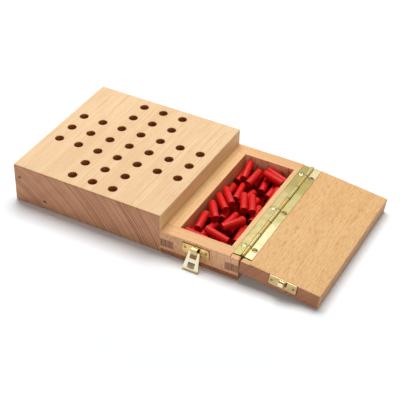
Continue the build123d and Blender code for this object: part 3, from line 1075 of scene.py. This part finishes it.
def peg_axis(node):
    """A peg's middle and the way it points, from its solid's own points."""
    points = points_of(node.data)
    middle = (points.min(0) + points.max(0)) / 2
    spread = np.linalg.eigh(np.cov((points - middle).T))
    way = Vector(spread[1][:, -1])
    return Vector(middle), way if way.y >= 0 else -way


def turned_peg():
    """One upright peg at the origin, its ends eased over as they leave the saw."""
    peg = turned(peg_radius, peg_length)
    round_edges(peg, peg_ease, peg_ease_steps)
    pick_ends(peg, 1, -1)
    for _ in range(end_ring_count):
        bpy.ops.mesh.inset(thickness=end_ring_width * mm)
    bpy.ops.object.mode_set(mode="OBJECT")
    return peg


def place_pegs():
    """The dyed pegs, each laid where its solid lies, with its own stretch of grain."""
    pattern = turned_peg()
    upright = points_of(pattern.data) / mm
    names = sorted(name for name in solids if name.startswith("peg_"))
    for number, name in enumerate(names):
        piece = copied(name.replace("peg", "dyed_peg"), pattern.data)
        own_grain = upright + np.array(grain_step) * number
        grain = piece.data.attributes.new("peg_place", "FLOAT_VECTOR", "POINT")
        grain.data.foreach_set("vector", own_grain.astype(np.float32).ravel())
        middle, way = peg_axis(solids[name])
        turn = way.to_track_quat("Z", "Y").to_matrix().to_4x4()
        piece.data.transform(Matrix.Translation(middle) @ turn)
        only(piece)
        bpy.ops.object.shade_smooth_by_angle(angle=math.radians(turned_shading_angle))
        dress(piece, peg_red)
        stand_for(piece, name)
    bpy.data.objects.remove(pattern)


def extrude_down(depth, scale):
    """Draws the picked end down along -Z and then narrows it."""
    bpy.ops.mesh.extrude_region_move(TRANSFORM_OT_translate={"value": (0, 0, -depth * mm)})
    bpy.ops.transform.resize(value=(scale, scale, 1))


def cut_slot(screw):
    """Cuts the driver's slot across the screw's head."""
    bpy.ops.object.select_all(action="DESELECT")
    bpy.ops.mesh.primitive_cube_add(size=1, location=(0, 0, 0))
    cutter = bpy.context.object
    cutter.scale = [side * mm for side in slot_size]
    only(cutter)
    bpy.ops.object.transform_apply()
    only(screw)
    slot = screw.modifiers.new("Slot", "BOOLEAN")
    slot.operation = "DIFFERENCE"
    slot.object = cutter
    slot.solver = "EXACT"
    bpy.ops.object.modifier_apply(modifier=slot.name)
    bpy.data.objects.remove(cutter)


def slotted_screw():
    """One countersunk screw along Z, with a low domed head whose rim is at the origin."""
    screw = turned(screw_head, head_height, -head_height / 2)
    pick_ends(screw, -1)
    bpy.ops.transform.resize(value=(shank_share, shank_share, 1))
    extrude_down(shank_length, 1.0)
    extrude_down(point_length, point_share)
    bpy.ops.object.mode_set(mode="OBJECT")
    pick_ends(screw, 1)
    for width, rise in dome_steps:
        bpy.ops.mesh.inset(thickness=width * mm, depth=rise * mm)
    bpy.ops.object.mode_set(mode="OBJECT")
    cut_slot(screw)
    round_edges(screw, screw_ease, screw_ease_steps)
    bpy.ops.object.shade_smooth_by_angle(angle=math.radians(turned_shading_angle))
    return screw


def place_screws(pattern, name, node, material, middle_y, slot_turns, opened):
    """Three screws of a leaf as one piece, each with its slot turned its own way."""
    pin = Matrix.Translation(pin_place * mm)
    swing = pin @ Matrix.Rotation(math.radians(lid_turn), 4, "Y") @ pin.inverted()
    made = []
    for number, turn in enumerate(slot_turns):
        y = middle_y + (number - 1) * screw_spacing
        if opened:
            place = Matrix.Translation(Vector((screw_x, y, pin_z + pin_to_leaf)) * mm)
            place = swing @ place @ Matrix.Rotation(math.pi, 4, "X")
        else:
            place = Matrix.Translation(Vector((screw_x, y, pin_z - pin_to_leaf)) * mm)
        screw = copied(name, pattern.data)
        screw.data.transform(place @ Matrix.Rotation(math.radians(turn), 4, "Z"))
        made.append(screw)
    only(made[0])
    for screw in made:
        screw.select_set(True)
    bpy.ops.object.join()
    piece = bpy.context.object
    dress(piece, material)
    stand_for(piece, node)


# Nodes whose own shape is shown, and their materials
for name, material in {
    "playing_block": block_beech,
    "lid_panel": lid_beech,
    "hinge_pin": pin_metal,
    "latch_plate_nails": nail_brass,
    "strike_plate_nails": nail_brass,
}.items():
    dress(solids[name], material)

# Nodes shown with softened edges: the piece's name, how wide its edges are rounded in
# millimetres, its material and its slot
for node, soft_look in {
    "tray_floor": ("eased_tray_floor", 0.18, floor_beech, "beech_tray"),
    "tray_left_wall": ("eased_left_wall", 0.12, side_beech, "beech_tray"),
    "tray_right_wall": ("eased_right_wall", 0.12, side_beech, "beech_tray"),
    "tray_front_wall": ("eased_front_wall", 0.12, end_beech, "beech_tray"),
    "tray_back_wall": ("eased_back_wall", 0.12, end_beech, "beech_tray"),
    "hinge_leaf_tray": ("rolled_tray_leaf", 0.10, tray_leaf_brass, "hinge_brass"),
    "hinge_leaf_lid": ("rolled_lid_leaf", 0.10, lid_leaf_brass, "hinge_brass"),
    "latch_plate": ("pressed_latch_plate", 0.12, latch_plate_brass, "latch_brass"),
    "strike_plate": ("pressed_strike_plate", 0.12, strike_plate_brass, "latch_brass"),
    "latch_lever": ("pressed_latch_lever", 0.14, lever_brass, "latch_brass"),
}.items():
    softened(node, *soft_look)

place_pegs()

screw_pattern = slotted_screw()
place_screws(screw_pattern, "domed_screws_tray", "hinge_screws_tray", tray_screw_metal,
             tray_screw_y, tray_slot_turns, opened=False)
place_screws(screw_pattern, "domed_screws_lid", "hinge_screws_lid", lid_screw_metal,
             lid_screw_y, lid_slot_turns, opened=True)
bpy.data.objects.remove(screw_pattern)


def add_camera():
    """The camera of the photograph."""
    bpy.ops.object.camera_add(location=camera_place)
    camera = bpy.context.object
    camera.data.sensor_width = film_width
    camera.data.lens = film_width * focal_length_px / photo_width_px
    camera.data.clip_start, camera.data.clip_end = view_depth
    turn = Matrix.Rotation(math.radians(camera_azimuth), 4, "Z")
    turn @= Matrix.Rotation(math.radians(90 - camera_elevation), 4, "X")
    turn @= Matrix.Rotation(math.radians(camera_roll), 4, "Z")
    camera.rotation_euler = turn.to_euler()
    bpy.context.scene.camera = camera


def seen(tree):
    """1 where the camera looks, also by a shine or through glass, and 0 for all other light."""
    path = add_node(tree, "LightPath", {}).outputs
    return greatest(tree, path["Is Camera Ray"], path["Is Glossy Ray"],
                    path["Is Transmission Ray"])


def add_light():
    """A large softbox above and behind, a weak low one in front, and the room's even light."""
    bpy.ops.object.light_add(type="AREA", location=softbox_place)
    softbox = bpy.context.object.data
    softbox.shape = "RECTANGLE"
    softbox.size, softbox.size_y = softbox_size
    softbox.energy = softbox_power
    bpy.ops.object.light_add(type="AREA", location=fill_place)
    fill = bpy.context.object
    fill.rotation_euler = Vector(fill_place).to_track_quat("Z", "Y").to_euler()
    fill.data.size = fill_size
    fill.data.energy = fill_power
    room = bpy.data.worlds.new("Studio")
    bpy.context.scene.world = room
    room.use_nodes = True
    tree = room.node_tree
    tree.nodes.clear()
    even = add_node(tree, "Background", {"Color": room_colour, "Strength": room_strength})
    backdrop = add_node(tree, "Background", {"Color": white, "Strength": 1.0})
    shown = add_node(tree, "MixShader",
                     {0: seen(tree), 1: even.outputs[0], 2: backdrop.outputs[0]})
    add_node(tree, "OutputWorld", {"Surface": shown.outputs[0]})


def add_floor():
    """A floor that keeps the shadow near the object and glows as white as the room beyond it."""
    bpy.ops.object.select_all(action="DESELECT")
    bpy.ops.mesh.primitive_plane_add(size=floor_size, location=floor_place)
    ground = bpy.context.object
    ground.name = "studio_floor"
    made, tree, shader = new_material("studio_floor_white")
    shader.inputs["Base Color"].default_value = floor_colour
    shader.inputs["Roughness"].default_value = floor_roughness
    shader.inputs["Specular IOR Level"].default_value = 0
    shader.inputs["Emission Color"].default_value = white
    away = length_of(tree, add_node(tree, "TexCoord", {}).outputs["Object"])
    glow = between(tree, away, *glow_reach, floor_glow, 1.0)
    feed(shader.inputs["Emission Strength"], product(tree, seen(tree), glow))
    dress(ground, made)


add_camera()
add_light()
add_floor()
